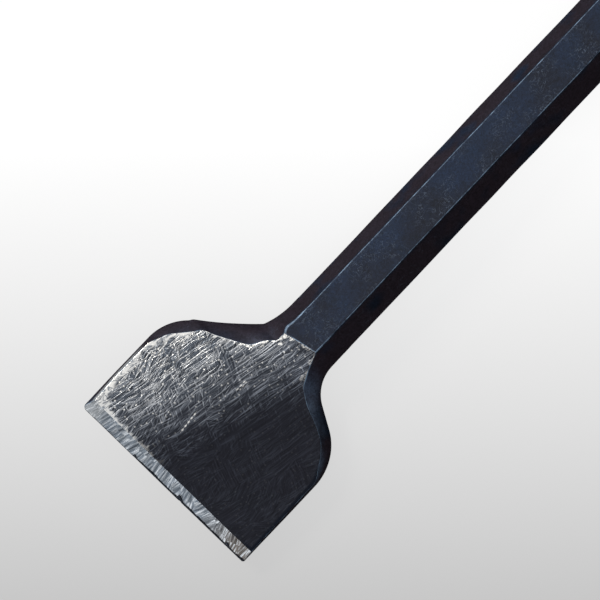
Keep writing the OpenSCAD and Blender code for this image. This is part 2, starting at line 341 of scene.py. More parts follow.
def broken(from_edge, y):
    """How far inside the broken steel at the cutting edge a point lies, below 0 where it is outside: triangular chips
    with their tips up the bevel, and a dull band whose width wanders and which is narrow at the left end."""
    narrow, wide, uneven = 0.1, 0.3, 0.2
    inside = narrow + smooth((y + 12) / 4) * (wide + uneven * wander(y, 0.0, 0.0, 5, 7)) - from_edge
    for place, half, high, drift in EDGE_CHIPS:
        chip = half * (1 - from_edge / high) - np.abs(y - place - drift * from_edge)
        inside = np.maximum(inside, chip)
    return inside


def face_stretch(size, first, second, up, rows, fade, shares):
    """The upper or lower face from one side to the other: places spread evenly between the two corners, at the
    surface's height less the wheel's ridges, the wander of the hand-held grinding, and the chips of the edge."""
    slant = neck_line(size, up * first.sign * size.flat_half * (1 - 2 * shares)) - size.neck_line
    x = rows + fade * slant
    ends = []
    for side in (first, second):
        y = wall_y(size, side, x, wall_top(size, side, up, x))
        ends.append((y, y - side.sign * edge_round(size, side, up, x)))
    y = ends[0][1] + (ends[1][1] - ends[0][1]) * shares
    inside = broken(size.tool_l - x, y)
    # The largest chips draw the edge itself back a little
    drawn = DRAWN_BACK * smooth((broken(0 * x, y) - 0.7) / 0.6)
    x = x - drawn * np.clip((x - size.bevel_x) / size.bevel_l, 0, 1) ** 2
    z = upper(size, x, up * y)
    line = neck_line(size, up * y)
    margin = 0.2
    ground = smooth(x - line - margin) * smooth((size.bevel_x - margin - x) / (2 * margin))
    # The two faces wander apart
    level = 7.0 * up
    ridges = wander(x / 9, y, level, 1.5, 5) + 0.8 * wander(x / 5, y, level, 3.4, 8)
    z = z + ground * (size.ridge * ridges + size.ground_wander * wander(x, y, level, 11, 2))
    z = np.maximum(z - CHIP_DEPTH * smooth(inside / 0.3), size.edge_t * 0.3)
    gap = np.minimum.reduce([np.abs(y - ends[0][0]), np.abs(y - ends[1][0]), np.abs(x - line),
                             np.abs(x - size.bevel_x)])
    return x, y, up * z, gap, inside


def edge_round(size, side, up, x):
    """How far the worn edges between walls and faces are rounded: a little more here and there, less on the thin
    cutting edge, and a broad worn facet where the bar's left corner meets the ground face."""
    uneven = 0.45
    worn = size.worn_r * (1 + uneven * wander(x, 9.0 * side.sign, 5.0 * up, 7, 6))
    if side.sign == -1 and up == 1:
        facet, start, end = 0.28, 200, 206.6
        worn = worn + facet * smooth((x - start) / 6) * (1 - smooth((x - end) / 1.2))
    return np.minimum(worn, 0.25 * ground_height(size, x))


def wall_end(size, side, up, x):
    """Where the wall stops and the worn edge starts: its height, and its top's height and steepness."""
    top = wall_top(size, side, up, x)
    lean = np.abs(wall_y(size, side, x, top) - wall_y(size, side, x, 0.9 * top)) / (0.1 * top)
    steep = np.sqrt(1 + lean ** 2)
    return top - np.minimum(edge_round(size, side, up, x) / steep, 0.25 * top), top, steep


def wall_stretch(size, side, up, rows, fade, shares):
    """A forged wall from its outer edge, at share 0, to where its worn edge starts."""
    slant = neck_line(size, up * side.sign * size.flat_half) - size.neck_line
    x = rows + fade * slant * shares
    end, top, steep = wall_end(size, side, up, x)
    z = end * shares
    y = wall_y(size, side, x, z)
    return x, y, up * z, np.minimum((top - z) * steep, 1.2 * z), np.full_like(x, -FAR)


def corner_stretch(size, side, up, rows, fade, shares):
    """The worn edge between a wall and a face: a quadratic curve pulled towards the sharp corner."""
    slant = neck_line(size, up * side.sign * size.flat_half) - size.neck_line
    x = rows + fade * slant + 0 * shares
    end, top, _ = wall_end(size, side, up, x)
    y_end, y_top = wall_y(size, side, x, end), wall_y(size, side, x, top)
    y_face = y_top - side.sign * edge_round(size, side, up, x)
    z_face = upper(size, x, up * y_face)
    a, b, c = (1 - shares) ** 2, 2 * shares * (1 - shares), shares ** 2
    y = a * y_end + b * y_top + c * y_face
    return x, y, up * (a * end + b * top + c * z_face), 0 * x, broken(size.tool_l - x, y)


def blade_grid(size, rows):
    """The neck and blade: one ring of points for each row, from the middle of the right wall over the top. The rows
    slant with the line where the ground face meets the bar, less and less away from it, then everything is turned by
    the roll."""
    rows = rows[:, None]
    near, over = 1.5, 5
    fade = 1 - smooth((np.abs(rows - size.neck_line) - near) / over)
    rise, turn, across = (np.arange(count) / count for count in (WALL_COUNT, CORNER_COUNT, FACE_COUNT))
    parts = []
    for first, second, up in ((size.right, size.left, 1), (size.left, size.right, -1)):
        parts += [
            wall_stretch(size, first, up, rows, fade, rise ** 1.5),
            corner_stretch(size, first, up, rows, fade, turn),
            face_stretch(size, first, second, up, rows, fade, across),
            corner_stretch(size, second, up, rows, fade, 1 - turn),
            wall_stretch(size, second, up, rows, fade, (1 - rise) ** 1.5),
        ]
    x, y, z, gap, inside = (np.concatenate(columns, 1) for columns in zip(*parts))
    taken = -(size.blade_roll - roll_left(size, x))
    points = np.stack([x, y * np.cos(taken) - z * np.sin(taken), y * np.sin(taken) + z * np.cos(taken)], -1)
    return points, gap, inside


def quadrant_rays(size):
    """Rays of a quarter of the shank's rings: level ones over a driving slot, a fan round a pivot with one ray
    through the hexagon's corner, and upright ones over a locking groove. Each has a foot and a direction."""
    groove_y = size.shank_r - size.lock_depth + size.ball_r
    rim_z = (size.shank_r ** 2 + groove_y ** 2 - size.ball_r ** 2) / (2 * groove_y)
    rim_y = math.sqrt(size.shank_r ** 2 - rim_z ** 2)
    half = size.slot_w / 2
    wall = size.slot_depth * math.tan(size.slot_draft)
    pivot = np.array([rim_y + 0.06, half + wall + 0.13])
    foot_r = 0.2
    z = np.concatenate([half * np.array([0, 0.06, 0.15, 0.3, 0.5, 0.75, 0.9, 0.98]),
                        half + wall * np.array([0, 0.25, 0.5, 0.75, 1]), half + wall + np.array([0.015, 0.04, 0.08])])
    y = np.concatenate([rim_y + np.array([0.03, 0, -0.03, -0.08, -0.2, -0.5]),
                        rim_y * np.array([0.6, 0.42, 0.25, 0.12, 0])])
    corner = math.atan2(size.bar_half - pivot[1], size.flat_half - pivot[0])
    rest = math.pi / 2 - corner
    fan = np.concatenate([corner * np.array([0, 0.11, 0.25, 0.41, 0.57, 0.73, 0.87, 0.95, 0.985, 1]),
                          corner + rest * np.array([0.08, 0.22, 0.55, 1])])
    round_way = np.stack([np.cos(fan), np.sin(fan)], 1)
    feet = np.concatenate([np.stack([np.full_like(z, pivot[0] + foot_r), z], 1), pivot + foot_r * round_way,
                           np.stack([y, np.full_like(y, pivot[1] + foot_r)], 1)])
    ways = np.concatenate([np.tile([1.0, 0.0], (len(z), 1)), round_way, np.tile([0.0, 1.0], (len(y), 1))])
    return feet, ways


def shank_rays(size):
    """The rays of a whole ring: the quarter, mirrored three times."""
    feet, ways = quadrant_rays(size)
    mirrors = (((1, 1), slice(None, None, 1)), ((-1, 1), slice(-2, None, -1)), ((-1, -1), slice(1, None, 1)),
               ((1, -1), slice(-2, 0, -1)))
    return (np.concatenate([rays[order] * flip for flip, order in mirrors]) for rays in (feet, ways))


def bar_grid(size, rows):
    """The shank and bar: along each ray the nearest of the hexagon's planes, the turned surface (a ball's at the
    struck end, a cylinder, a ball's at the shoulder), the locking groove (a cylinder with balls for ends) and the
    driving slot (a flat floor that sweeps up, between leaning walls), with soft corners between them."""
    feet, ways = shank_rays(size)
    rows = rows[:, None]
    turns = np.radians(30 + 60 * np.arange(6))
    normals = np.stack([np.cos(turns), np.sin(turns)])
    facing = ways @ normals
    planes = np.where(facing > 1e-6, (size.bar_half - feet @ normals) / np.maximum(facing, 1e-6), FAR)
    planes = np.sort(planes, 1)
    hexagon = soft_min(planes[:, 0], planes[:, 1], SOFT_CORNER)
    end_r = math.hypot(size.shank_r - size.struck_chamfer, size.shank_r)
    shoulder_x = size.shank_l + math.sqrt(size.turned_r ** 2 - size.shank_r ** 2)
    end = np.sqrt(np.maximum(0, end_r ** 2 - np.clip(size.shank_r - rows, 0, None) ** 2))
    shoulder = np.sqrt(np.maximum(0, size.turned_r ** 2 - np.clip(shoulder_x - rows, 0, None) ** 2))
    radius = np.where(rows < size.shank_l, np.minimum(size.shank_r, end), np.where(rows < shoulder_x, shoulder, FAR))
    inward = (feet * ways).sum(1)
    turned = np.sqrt(inward ** 2 - (feet ** 2).sum(1) + radius ** 2) - inward
    upright, level = np.abs(ways[:, 1]) > 0.9999, np.abs(ways[:, 0]) > 0.9999
    past_end = np.maximum(size.lock_start + size.ball_r - rows, rows - size.lock_start - size.lock_l + size.ball_r)
    deep = size.ball_r ** 2 - np.clip(past_end, 0, size.ball_r) ** 2 - feet[:, 0] ** 2
    groove_z = size.shank_r - size.lock_depth + size.ball_r
    groove = np.where(upright & (deep > 0), groove_z - np.sqrt(np.maximum(0, deep)) - np.abs(feet[:, 1]), FAR)
    swept = arc_drop(size.slot_sweep_r, np.clip(rows - size.slot_l, 0, size.slot_sweep_r))
    floor = size.shank_r - size.slot_depth + swept
    lean = np.clip(np.abs(feet[:, 1]) - size.slot_w / 2, 0, None) / math.tan(size.slot_draft)
    slot = np.where(level, floor + lean - np.abs(feet[:, 0]), FAR)
    body = soft_min(hexagon, turned, SOFT_TURNED)
    out = soft_min(soft_min(body, groove, SOFT_GROOVE), slot, SOFT_GROOVE)
    gap = np.minimum.reduce([np.where(turned < hexagon, FAR, planes[:, 1] - planes[:, 0]) * 0.8,
                             np.abs(body - groove), np.abs(body - slot), np.abs(hexagon - turned)])
    across = feet + ways * out[..., None]
    points = np.concatenate([np.broadcast_to(rows, out.shape)[..., None], across], -1)
    return points, gap, struck_face(size, feet, across[0])


def struck_face(size, feet, rim):
    """Rings that close the struck end: out from the axis to the rays' feet, then on to the rim, dished by blows."""
    shares = np.array([0.35, 0.7, 1.0])[:, None, None]
    rings = np.concatenate([feet * shares, feet + (rim - feet) * np.array([0.35, 0.7])[:, None, None]])
    r = np.linalg.norm(rings, axis=-1)
    dish = DISH * (1 - np.clip(r / (size.shank_r - size.struck_chamfer), 0, 1) ** 2)
    dents = DENTS * (1 + wander(rings[..., 0], rings[..., 1], 0.0, 2.5, 4))
    return np.concatenate([(dish + dents * (dish > 0))[..., None], rings], -1)


def bar_rows(size):
    """Places of the rings along the shank and bar, close together where the form turns."""
    stops = (0, 0.1, 0.25, 0.5, 0.75, 1.0, 1.2, 2.2, 3.5, 5, 6.5, 7.7)
    lock = size.lock_start + np.array([0.3, 0.42, 0.5, 0.6, 0.75, 0.95, 1.2, 1.5, 1.85, 2.2, 2.6, 3, 3.5, 4.2, 5.5,
                                       7.3])
    last = 2 * size.lock_start + size.lock_l
    return np.concatenate([
        stops, lock, [last / 2], (last - lock)[::-1], [size.slot_l, size.slot_l + 1],
        np.linspace(size.slot_l + 2, size.slot_l + 8.6, 16), np.linspace(size.slot_l + 10, size.shank_l - 0.6, 10),
        np.linspace(size.shank_l - 0.2, size.shank_l + 3.8, 22), np.linspace(size.shank_l + 4.6, size.shank_l + 9, 5),
        np.linspace(size.shank_l + 11, JOIN_X - JOIN_GAP, 52),
    ])


def blade_rows(size):
    """Places of the rings along the neck and blade: close together at the neck line, the bevel line and the edge."""
    line, bevel, edge = size.neck_line, size.bevel_x, size.tool_l
    flared, straight = 220.0, 228.5
    return np.concatenate([
        np.linspace(JOIN_X + JOIN_GAP, line - 2, 9), np.linspace(line - 1.6, line - 0.4, 5),
        line + TURN_ROWS, np.arange(line + 0.5, flared, 0.25), np.arange(flared + 0.1, straight, 0.33),
        np.linspace(straight + 0.3, bevel - 0.4, 36), bevel + TURN_ROWS, np.linspace(bevel + 0.55, edge - 1.35, 6),
        edge - np.array([1.1, 0.9, 0.72, 0.55, 0.4, 0.28, 0.17, 0.09, 0.03, 0]),
    ])


def ring_quads(rings, ring, first):
    """Faces between neighbouring rings, pointing outwards."""
    i, j = np.meshgrid(np.arange(rings - 1), np.arange(ring), indexing="ij")
    a = first + i * ring + j
    b = first + i * ring + (j + 1) % ring
    return np.stack([a, b, b + ring, a + ring], -1).reshape(-1, 4)


def zipped(low, high, first_low, first_high):
    """Triangles between two rings with different numbers of points: both are walked round together by their angle
    about the axis, and each step goes to whichever ring has the nearer next point."""
    turns = [np.mod(np.arctan2(ring[:, 2], ring[:, 1]), 2 * np.pi) for ring in (low, high)]
    ends = [np.append(turn[1:], 2 * np.pi) for turn in turns]
    n, m = len(low), len(high)
    at_high = np.searchsorted(ends[1], ends[0], side="left") % m
    at_low = np.searchsorted(ends[0], ends[1], side="right") % n
    k, l = np.arange(n), np.arange(m)
    return np.concatenate([
        np.stack([first_low + k, first_low + (k + 1) % n, first_high + at_high], 1),
        np.stack([first_high + l, first_low + at_low, first_high + (l + 1) % m], 1),
    ])


def forged(size, points):
    """The points moved by the forging's unevenness, which wanders in all three directions and spares the shank, by the
    skew of the bevel and the cutting edge, and by the drift of the bevel's start, which fades out to the edge."""
    x, y, z = points.T
    reach = size.forged_wander * smooth((x - FORGED_FROM) / FORGED_OVER)
    drift = size.bevel_drift * np.clip((size.tool_l - x) / size.bevel_l, 0, 1)
    skew = (math.tan(size.edge_skew) * y + drift) * smooth((x - SKEW_FROM) / SKEW_OVER)
    moves = [reach * wander(x, y, z, wave, kind) * share for share, wave, kind in FORGED_WAVES]
    return np.stack([x + moves[0] + skew, y + moves[1], z + moves[2]], -1)


def chisel_surface(size):
    """All points and faces of the chisel, and for each point its distance to the nearest edge and how far it lies
    inside the broken steel. The bar's rings and the blade's have different numbers of points, and are zipped
    together."""
    bar, bar_gap, cap = bar_grid(size, bar_rows(size))
    rows = blade_rows(size)
    blade, blade_gap, inside = blade_grid(size, rows)
    ring, blade_ring = bar.shape[1], blade.shape[1]
    bar = np.concatenate([cap, bar])
    start = 1 + bar.shape[0] * ring
    points = np.concatenate([[[DISH, 0, 0]], bar.reshape(-1, 3), blade.reshape(-1, 3)])
    points = forged(size, points)
    j = np.arange(ring)
    low = 1 + (bar.shape[0] - 1) * ring
    half = blade_ring // 2
    last = start + (len(rows) - 1) * blade_ring
    k = np.arange(1, half - 1)
    bar_quads = ring_quads(bar.shape[0], ring, 1)
    blade_quads = ring_quads(len(rows), blade_ring, start)
    edge_quads = last + np.stack([k, k + 1, blade_ring - k - 1, blade_ring - k], 1)
    tris = np.concatenate([
        np.stack([np.zeros_like(j), 1 + (j + 1) % ring, 1 + j], 1),
        zipped(bar[-1], blade[0], low, start),
        last + np.array([[0, 1, blade_ring - 1], [half - 1, half, half + 1]]),
    ])
    finish = np.concatenate([np.full(len(bar_quads), SCALE), blade_finish(size, rows),
                             np.full(len(edge_quads), BEVEL), np.full(len(tris), SCALE)])
    gap = np.concatenate([[CLEAR], np.full(cap.shape[0] * ring, CLEAR), bar_gap.ravel(), blade_gap.ravel()])
    inside = np.concatenate([np.full(start, -FAR), inside.ravel()])
    return points, (bar_quads, blade_quads, edge_quads, tris), finish, gap, inside


def blade_finish(size, rows):
    """The finish of each face between the blade's rings: forging scale on the bar and the walls, ground steel between
    the neck line and the bevel line, honed steel on the bevels. A worn edge is shared by what it parts."""
    half = CORNER_COUNT // 2
    wall = WALL_COUNT + half
    face = np.tile(np.repeat([False, True, False], [wall, FACE_COUNT + 2 * half, wall]), 2)
    middle = (rows[:-1, None] + rows[1:, None]) / 2
    kind = np.where(middle < size.neck_line, SCALE, np.where(middle < size.bevel_x, GROUND, BEVEL))
    return np.where(face, kind, SCALE).ravel()


def mesh_object(name, points, faces, finish, materials, attributes):
    """A closed, smooth mesh object from whole arrays, with its materials and its points' attributes."""
    mesh = bpy.data.meshes.new(name)
    mesh.from_pydata((points * MM).tolist(), [], [corner for part in faces for corner in part.tolist()])
    for material in materials:
        mesh.materials.append(material)
    mesh.polygons.foreach_set("material_index", finish.astype(np.int32))
    for label, values in attributes.items():
        mesh.attributes.new(label, "FLOAT", "POINT").data.foreach_set("value", values.astype(np.float32))
    mesh.shade_smooth()
    mesh.set_sharp_from_angle(angle=CRISP_TURN)
    mesh.update()
    piece = bpy.data.objects.new(name, mesh)
    bpy.context.collection.objects.link(piece)
    return piece


def node(tree, kind, *inputs, out=None, **named):
    """Adds a node and gives one of its outputs, or several where out names several. Its operation may follow its
    kind, and names in small letters are its other settings. Its inputs are linked or filled in the order of those
    that its settings leave in use, or by name."""
    kind, _, operation = kind.partition(" ")
    made = tree.nodes.new(f"ShaderNode{kind}")
    if operation:
        made.operation = operation
    for name, value in named.items():
        if name.islower():
            setattr(made, name, value)
    pairs = list(zip([socket for socket in made.inputs if socket.enabled], inputs))
    pairs += [(made.inputs[name.replace("_", " ")], value) for name, value in named.items() if not name.islower()]
    for socket, value in pairs:
        if isinstance(value, bpy.types.NodeSocket):
            tree.links.new(value, socket)
        else:
            socket.default_value = (*value, 1) if socket.type == "RGBA" and len(value) == 3 else value
    if isinstance(out, tuple):
        return [made.outputs[name] for name in out]
    return made.outputs[out] if out else next((socket for socket in made.outputs if socket.enabled), None)


def emptied(block):
    """A material or world with its node tree cleared, and what adds nodes to that tree."""
    block.use_nodes = True
    block.node_tree.nodes.clear()
    return block, partial(node, block.node_tree)


def steel(name, turn=0.0):
    """A new steel: its material, what adds nodes to it, and a point's place in millimetres, whole and along, across
    and out of the tool, on axes turned about it."""
    material, add = emptied(bpy.data.materials.new(name))
    place = add("Mapping", add("TexCoord", out="Object"), Rotation=(turn, 0, 0), Scale=IN_MM)
    return material, add, place, *add("SeparateXYZ", place, out=("X", "Y", "Z"))


def surfaced(add, body, rough, height, relief, depth, **more):
    """Ends a steel's nodes, with its colour, its roughness, and a relief from the height, its depth in millimetres."""
    bump = add("Bump", Height=height, Strength=relief, Distance=depth * MM)
    add("OutputMaterial", add("BsdfPrincipled", Base_Color=body, Roughness=rough, Normal=bump, **more))


def laid(add, body, tint, strength, *masks):
    """The body's colour with a tint laid over it, as strongly as told times the masks."""
    for mask in masks:
        strength = add("Math MULTIPLY", strength, mask)
    return add("Mix", strength, body, tint, data_type="RGBA")


def in_patches(add, place, scale, least, most):
    """The place turned by an angle of its own in each cell of a Voronoi pattern, for marks that cross in patches."""
    cell = add("TexVoronoi", place, scale, out="Color", voronoi_dimensions="2D")
    swing = add("MapRange", add("SeparateColor", cell), 0.0, 1.0, least, most)
    return add("VectorRotate", place, Angle=swing, rotation_type="Z_AXIS")


class ChiselFinish(bpy.types.PropertyGroup):
    """Colours of the chisel's finishes."""
    scale_blue: colour("Blue scale", "Forging scale where it is bluest", "#101f33")
    scale_black: colour("Black scale", "Forging scale where it is blackest", "#0a0f19")
    # Partly rust, partly a painted reflection on the faces below the bar's top flat
    brown_scale_and_reflection: colour("Brown scale", "Forging scale with a trace of rust", "#241b21")
    # Colour of a painted bluish sheen on the blade's walls beside the ground face
    wall_sheen_tint: colour("Heat tint", "Scale of the blade's walls beside the ground face", "#2a3648")
    # Also laid on the right wall as a painted sheen that lightens it
    scuff_and_sheen: colour("Scuff", "Handling marks on the scale", "#5a6675")
    # Partly wear, partly a painted highlight along the edges
    worn_edge_highlight: colour("Worn edge", "Steel that shows at the worn edges", "#6d8297")
    # The ground steels and the two strokes' colours are the ends of a fall across the ground face, partly a painted
    # sheen
    ground_bright: colour("Bright ground steel", "Ground steel where it is fresh", "#69717b")
    ground_dark: colour("Dark ground steel", "Ground steel where it has dulled blue black", "#1b1c22")
    stroke: colour("Fresh stroke", "Strokes of the coarse grit where the grinding is fresh", "#ebe9e2")
    stroke_dull: colour("Dull stroke", "Strokes of the coarse grit where the grinding has dulled", "#8c97a8")
    bevel_steel: colour("Bevel steel", "Honed steel of the bevel at its left end", "#51585f")
    bevel_warm: colour("Warm bevel steel", "Honed steel of the bevel at its right end", "#4b4743")
    bevel_line: colour("Honing line", "Lines left by the honing stone", "#8a8e91")


class ChiselStage(bpy.types.PropertyGroup):
    """The floor, the light and the camera."""
    floor_pale: colour("Pale floor", "Floor at the top of the view", "#fbfbfb")
    floor_grey: colour("Grey floor", "Floor at the bottom of the view", "#c4c4c4")
    dome_light: FloatProperty(name="Dome light", description="Brightness of the soft light overhead", default=1.15)
    camera_distance: length("Camera distance", "From the blade's middle plane", 1500)
    view_width: length("View width", "Width of what the camera sees", 133.5)


def forging_scale(finish, turn):
    """Chisel steel with black forging scale, hammered, quenched in oil and handled: a thin satin skin of iron oxide,
    blue black with browner clouds, finely scuffed, and rubbed through to pale steel along its edges. The browner
    clouds on the side faces are partly a painted reflection, the blade's walls carry a painted sheen, and the pale
    edges are partly a painted highlight."""
    material, add, place, along, across, level = steel("forged_steel_with_black_scale")
    cloud = add("TexNoise", place, 0.085, 4, 0.6)
    fine = add("TexNoise", place, 0.9, 3, 0.6)
    # Bluer towards the left side of the tool, less blue towards the right
    blue = add("Math MULTIPLY_ADD", across, -0.022, cloud)
    body = laid(add, finish.scale_black, finish.scale_blue, add("MapRange", blue, 0.38, 0.62, 0.25))
    # Brown on the faces below the bar's top flat: partly rust, partly a painted reflection of a brownish surround
    rust_and_reflection = add("MapRange", add("TexNoise", add("Mapping", place, (31, 7, 3)), 0.11, 2), 0.3, 0.46)
    low = add("MapRange", level, 6.9, 6.2, 0.12)
    body = laid(add, body, finish.brown_scale_and_reflection, rust_and_reflection, low, 0.85)
    # Painted sheen: the blade's walls are bluer towards the ground face, as a rounded wall catching light looks
    rise = add("SeparateXYZ", add("Mapping", place, Rotation=(turn, 0, 0)), out="Z")
    wall_sheen = add("MapRange", along, 207.0, 214.0)
    for mask in (add("MapRange", rise, 1.0, 3.2), add("MapRange", along, 231.0, 223.0),
                 add("MapRange", cloud, 0.35, 0.6)):
        wall_sheen = add("Math MULTIPLY", wall_sheen, mask)
    body = laid(add, body, finish.wall_sheen_tint, wall_sheen, add("MapRange", across, -10.0, 8.0, 0.4, 1.6))
    # Painted sheen: the right wall, which faces away from the light, is lightened with the scuff colour
    body = laid(add, body, finish.scuff_and_sheen, wall_sheen, add("MapRange", across, 6.0, 12.0, 0.0, 0.7))
    # The wheel brushed the upper part of the left wall
    body = laid(add, body, finish.bevel_line, add("MapRange", along, 230.0, 234.0), add("MapRange", rise, 0.9, 1.2),
                add("MapRange", across, -20.0, -24.0, 0.0, 0.75))
    # Handling scuffs: curls a tenth of a millimetre wide, drawn about 0.2 mm wide so that they show
    curl = add("Math SUBTRACT", add("TexNoise", place, 0.32, 3, Distortion=2.2), 0.5)
    curl = add("MapRange", add("Math ABSOLUTE", curl), 0.0, 0.02, 1.0, 0.0)
    dash = add("TexNoise", add("Mapping", place, Rotation=(0, 0, 0.7), Scale=(0.14, 2.6, 0.14)), Detail=1)
    dash = add("MapRange", dash, 0.66, 0.74)
    patch = add("MapRange", add("TexNoise", place, 0.16, 2), 0.42, 0.66)
    body = laid(add, body, finish.scuff_and_sheen, add("Math MAXIMUM", curl, dash), patch, fine,
                add("MapRange", low, 0.12, 1.0, 0.9, 0.25))
    grain = add("MapRange", add("TexNoise", place, 1.6, 2, Distortion=1.2), 0.3, 0.7, 0.62, 1.42)
    body = add("Mix", 1.0, body, grain, data_type="RGBA", blend_type="MULTIPLY")
    # Pale steel along the edges: partly wear through the scale, partly a painted highlight
    gap = add("Attribute", out="Fac", attribute_name="edge_gap")
    worn = add("MapRange", gap, 0.02, 0.17, 1.0, 0.0, interpolation_type="SMOOTHSTEP")
    rubbed = add("MapRange", add("TexNoise", place, 0.5, 4), 0.4, 0.62, 0.12, 0.9)
    body = laid(add, body, finish.worn_edge_highlight, worn, rubbed)
    height = add("Math ADD", add("Math MULTIPLY", fine, 0.5), grain)
    surfaced(add, body, add("MapRange", cloud, 0.3, 0.7, 0.44, 0.6), height, 0.25, 0.04, Metallic=0.25,
             Specular_IOR_Level=0.25)
    return material


def strokes(add, place, aside):
    """Strokes of the grit: long thin dots, one in each cell of stretched Voronoi patterns, so that each starts and
    ends cleanly. Gives how strongly each point is in a stroke; aside moves them, for the painted shadow lines along
    them."""
    strongest = None
    for lean, long, wide, shift, empty in STROKES:
        turned = add("Mapping", place, Rotation=(0, 0, lean))
        scaled = add("Mapping", turned, (shift, 2 * shift + aside / wide, 0), Scale=(1 / long, 1 / wide, 1))
        nearest, cell = add("TexVoronoi", scaled, 1.0, out=("Distance", "Color"), voronoi_dimensions="2D")
        chance = add("MapRange", add("SeparateColor", cell), empty, empty + 0.3)
        stroke = add("Math MULTIPLY", add("MapRange", nearest, 0.45, 0.29), chance)
        strongest = add("Math MAXIMUM", strongest, stroke) if strongest else stroke
    return strongest


def ground_steel(finish, turn):
    """Chisel steel ground by hand on a coarse wheel: strokes of the grit along the blade and in crossing patches,
    bright as cut towards the left edge and the neck, dulled to blue black towards the lower right. That fall from
    bright to dark is partly a painted sheen of the light from the left, and the dark lines beside the strokes are
    painted shadows."""
    material, add, place, along, across, _ = steel("coarsely_ground_steel", turn)
    gap = add("Attribute", out="Fac", attribute_name="edge_gap")

    # Strokes of coarse grit, 0.1 to 0.2 mm wide on the real face and drawn 0.25 to 0.35 mm wide so that they show
    bend = add("VectorMath SUBTRACT", add("TexNoise", place, 0.1, 2, 0.6, out="Color"), (0.5, 0.5, 0.5))
    bent = add("VectorMath MULTIPLY_ADD", bend, (1.3, 1.3, 0.0), place)
    turned = in_patches(add, bent, 0.19, -1.2, 0.9)
    leaning = add("Mapping", bent, Rotation=(0, 0, 0.2))
    long_cut = add("TexNoise", add("Mapping", leaning, Scale=(0.1, 3.2, 0.2)), 1.0, 2, 0.6)
    patch_cut = add("TexNoise", add("Mapping", turned, Scale=(0.3, 3.4, 0.2)), 1.0, 2, 0.6)
    zone = add("Math ADD", add("TexNoise", place, 0.14, 1), add("MapRange", along, 214.0, 232.0, 0.2, -0.06))
    cut = add("Mix", add("MapRange", zone, 0.49, 0.51), patch_cut, long_cut, data_type="FLOAT")
    wave = add("TexWave", turned, 0.46, 2.5, 2, 0.35, out="Fac", bands_direction="Y")
    gate = add("MapRange", add("TexNoise", add("Mapping", turned, Scale=(0.2, 0.8, 0.4)), 1.0, 1), 0.46, 0.56)
    hatch = add("Math MULTIPLY", add("MapRange", wave, 0.6, 0.95), gate)
    ridge, furrow = add("MapRange", cut, 0.55, 0.61), add("MapRange", cut, 0.45, 0.39)
    dashes, stroke_shadows = (strokes(add, bent, aside) for aside in (0.0, 0.26))

    # How freshly ground the steel is, partly a painted sheen of the light from the left: falls from the left side
    # to the middle, and sooner towards the bevel
    freshness_and_sheen = add("Math ADD", across, add("MapRange", along, 208.0, 247.0, 0.0, 16.0))
    for pattern, weight in ((add("TexNoise", place, 0.15, 3, 0.6), 8.0), (cut, -7.0)):
        freshness_and_sheen = add("Math MULTIPLY_ADD", pattern, weight, freshness_and_sheen)
    fresh_and_sheen = add("MapRange", freshness_and_sheen, 12.0, -34.0, interpolation_type="SMOOTHSTEP")
    part_fresh_and_sheen, fade = add("Math POWER", fresh_and_sheen, 0.55), add("Math POWER", fresh_and_sheen, 0.85)
    # Painted sheen: the base steel runs from dark to bright with the fall above
    body = laid(add, finish.ground_dark, finish.ground_bright, fade)
    tint = laid(add, finish.stroke_dull, finish.stroke, part_fresh_and_sheen)
    body = laid(add, body, finish.ground_dark, furrow, add("MapRange", fresh_and_sheen, 0.0, 1.0, 0.25, 0.95))
    body = laid(add, body, tint, ridge, add("MapRange", fade, 0.0, 1.0, 0.006, 0.38))
    body = laid(add, body, tint, hatch, add("Math MULTIPLY", fade, 0.36))
    # Painted shadow: a dark line beside each stroke, from the strokes moved aside
    body = laid(add, body, finish.ground_dark, stroke_shadows, add("MapRange", part_fresh_and_sheen, 0.0, 1.0, 0.3, 0.9))
    body = laid(add, body, tint, dashes, add("MapRange", part_fresh_and_sheen, 0.0, 1.0, 0.028, 1.1))
    for middle, aside, lean, half, bright in SCRATCHES:
        spot = add("VectorMath SUBTRACT", place, (middle, aside, 0))
        run, off = add("SeparateXYZ", add("VectorRotate", spot, Angle=lean, rotation_type="Z_AXIS"), out=("X", "Y"))
        # In beads half a millimetre apart, as the grit skipped
        off = add("Math MULTIPLY_ADD", add("Math PINGPONG", run, 0.55), 0.4, add("Math ABSOLUTE", off))
        end = add("MapRange", add("Math ABSOLUTE", run), half, half - 0.3)
        body = laid(add, body, finish.stroke, add("MapRange", off, 0.24, 0.15), add("Math MULTIPLY", end, bright))
    grain = add("MapRange", cut, 0.3, 0.7, 0.68, 1.35)
    body = add("Mix", 1.0, body, grain, data_type="RGBA", blend_type="MULTIPLY")

    # The rim, where the wheel broke through the scale and left its brightest marks
    fold = add("TexNoise", add("Mapping", leaning, Scale=(0.3, 0.8, 0.5)), 1.0, 1, Distortion=0.5)
    edge = add("Math ADD", gap, add("Math MULTIPLY_ADD", fold, -5.0, 2.7))
    edge = add("Math DIVIDE", edge, add("MapRange", across, -25.0, -18.0, 2.2, 0.65))
    rim = add("MapRange", edge, 1.1, 0.5, interpolation_type="SMOOTHSTEP")
    smeared = add("MapRange", across, -10.0, -20.0, 0.0, 0.7)
    body = laid(add, body, finish.ground_bright, rim, smeared)
    crest = add("MapRange", add("Math PINGPONG", add("Math MULTIPLY", fold, 10.0), 1.0), 0.1, 0.5, 0.1, 1.0)
    # Its marks fade beside the bevel, less so at the left end
    near_bevel = add("MapRange", along, 243.0, 245.0)
    near_bevel = add("Math MULTIPLY", near_bevel, add("MapRange", across, -20.0, -4.0, 0.2))
    body = laid(add, body, finish.stroke, rim, crest, add("Math SUBTRACT", 1.0, near_bevel),
                add("MapRange", across, 6.5, -2.0, 0.0, 0.8))
